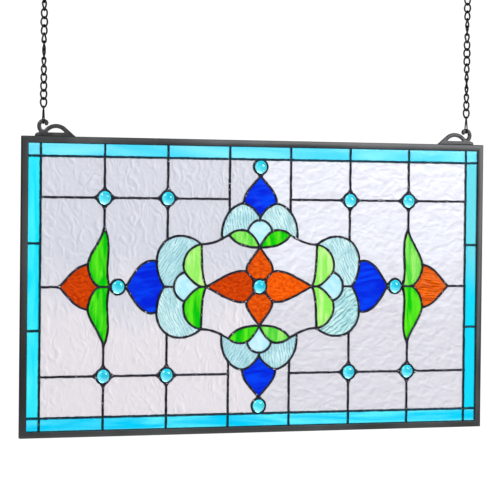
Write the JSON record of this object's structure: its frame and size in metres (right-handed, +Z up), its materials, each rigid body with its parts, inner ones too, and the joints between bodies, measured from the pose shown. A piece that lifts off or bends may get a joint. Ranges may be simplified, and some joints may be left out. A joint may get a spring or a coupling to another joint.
{
  "type": "hanging stained glass window panel",
  "caption": "Rectangular leaded glass window panel with a symmetrical floral pattern and round nuggets, in a metal channel frame that hangs from chains.",
  "frame": {"origin": "between the two chains' end rings, at the height where hooks hold them, above the middle of the panel and in its mid-plane", "axes": "+X to the viewer's right along the panel, +Y away from the viewer through the glass, +Z up"},
  "size_m": [0.61, 0.0094, 0.5706],
  "materials": {
    "frame_metal": "dark gunmetal patina, satin, a little uneven",
    "solder": "black patina over uneven half-round solder beads",
    "hanger_metal": "dark cast metal, slightly rough",
    "chain_metal": "blackened twisted wire links",
    "cyan_glass": "streaky translucent cyan, smooth and glossy",
    "clear_glass": "clear hammered glass with a faint lavender cast",
    "orange_glass": "streaky translucent orange",
    "green_glass": "streaky green with pale wisps",
    "seed_glass": "pale aqua, nearly clear",
    "shell_glass": "pale aqua with fine ripples across it",
    "blue_glass": "deep cobalt blue with lighter streaks",
    "nugget_glass": "polished round nuggets, domed in front"
  },
  "bodies": {
    "root": {"frame": "frame_metal", "solder_lines": "solder", "border_top": "cyan_glass", "border_bottom": "cyan_glass", "border_left": "cyan_glass", "border_right": "cyan_glass", "clear_glass_left": "clear_glass", "clear_glass_right": "clear_glass", "petal_left": "orange_glass", "petal_right": "orange_glass", "petal_top": "orange_glass", "petal_bottom": "orange_glass", "outer_bud_left": "orange_glass", "outer_bud_right": "orange_glass", "seed_left": "seed_glass", "seed_right": "seed_glass", "seed_top": "seed_glass", "seed_bottom": "seed_glass", "bud_left": "blue_glass", "bud_right": "blue_glass", "bud_top": "blue_glass", "bud_bottom": "blue_glass", "side_leaf_upper_right": "green_glass", "side_leaf_upper_left": "green_glass", "side_leaf_lower_right": "green_glass", "side_leaf_lower_left": "green_glass", "outer_leaf_upper_right": "green_glass", "outer_leaf_upper_left": "green_glass", "outer_leaf_lower_right": "green_glass", "outer_leaf_lower_left": "green_glass", "top_leaf_upper_right": "green_glass", "top_leaf_upper_left": "green_glass", "top_leaf_lower_right": "green_glass", "top_leaf_lower_left": "green_glass", "side_shell_upper_right": "shell_glass", "side_shell_upper_left": "shell_glass", "side_shell_lower_right": "shell_glass", "side_shell_lower_left": "shell_glass", "top_shell_upper_right": "shell_glass", "top_shell_upper_left": "shell_glass", "top_shell_lower_right": "shell_glass", "top_shell_lower_left": "shell_glass", "gem_centre": "nugget_glass", "gem_left": "nugget_glass", "gem_right": "nugget_glass", "gem_top": "nugget_glass", "gem_bottom": "nugget_glass", "gem_upper_left_inner": "nugget_glass", "gem_upper_left_outer": "nugget_glass", "gem_upper_right_inner": "nugget_glass", "gem_upper_right_outer": "nugget_glass", "gem_lower_left_inner": "nugget_glass", "gem_lower_left_outer": "nugget_glass", "gem_lower_right_inner": "nugget_glass", "gem_lower_right_outer": "nugget_glass", "hanger_left": "hanger_metal", "hanger_right": "hanger_metal", "chain_left": "chain_metal", "chain_right": "chain_metal"}
  },
  "joints": []
}
